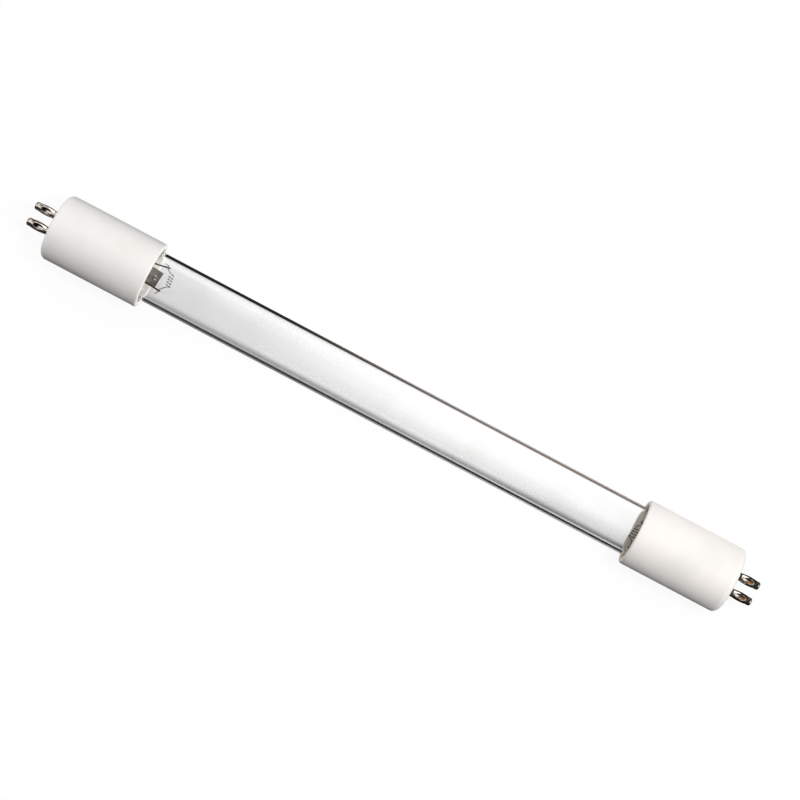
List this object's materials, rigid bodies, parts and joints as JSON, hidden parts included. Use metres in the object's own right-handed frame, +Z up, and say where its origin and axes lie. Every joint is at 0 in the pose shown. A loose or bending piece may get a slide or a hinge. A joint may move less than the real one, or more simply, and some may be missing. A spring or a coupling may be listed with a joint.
{
  "type": "germicidal fluorescent tube",
  "caption": "Straight clear quartz germicidal lamp with visible coiled filaments and white ceramic end caps carrying paired staked contact pins.",
  "frame": {"origin": "middle of the lamp: on the tube's axis, halfway between the end faces of the caps", "axes": "+X along the lamp towards the right cap, +Y across it in the plane of the pins, towards the back pins, +Z up, square to that plane"},
  "size_m": [0.2308, 0.0198, 0.0198],
  "materials": {
    "quartz_glass": "clear, polished",
    "cap_ceramic": "white, satin",
    "basing_cement": "grainy, matt",
    "pin_nickel": "nickel plate over brass, bright",
    "outer_lead_wire": "drawn nickel wire",
    "seal_foil": "molybdenum foil",
    "inner_lead_wire": "drawn wire, dulled",
    "filament_tungsten": "dark coiled tungsten",
    "amalgam_plate": "dull brown grey sheet"
  },
  "bodies": {
    "root": {"glass_tube": "quartz_glass", "amalgam_plate": "amalgam_plate", "left_cap": "cap_ceramic", "left_cement": "basing_cement", "left_filament": "filament_tungsten", "left_front_pin": "pin_nickel", "left_front_outer_lead": "outer_lead_wire", "left_front_foil": "seal_foil", "left_front_inner_lead": "inner_lead_wire", "left_back_pin": "pin_nickel", "left_back_outer_lead": "outer_lead_wire", "left_back_foil": "seal_foil", "left_back_inner_lead": "inner_lead_wire", "right_cap": "cap_ceramic", "right_cement": "basing_cement", "right_filament": "filament_tungsten", "right_front_pin": "pin_nickel", "right_front_outer_lead": "outer_lead_wire", "right_front_foil": "seal_foil", "right_front_inner_lead": "inner_lead_wire", "right_back_pin": "pin_nickel", "right_back_outer_lead": "outer_lead_wire", "right_back_foil": "seal_foil", "right_back_inner_lead": "inner_lead_wire"}
  },
  "joints": []
}
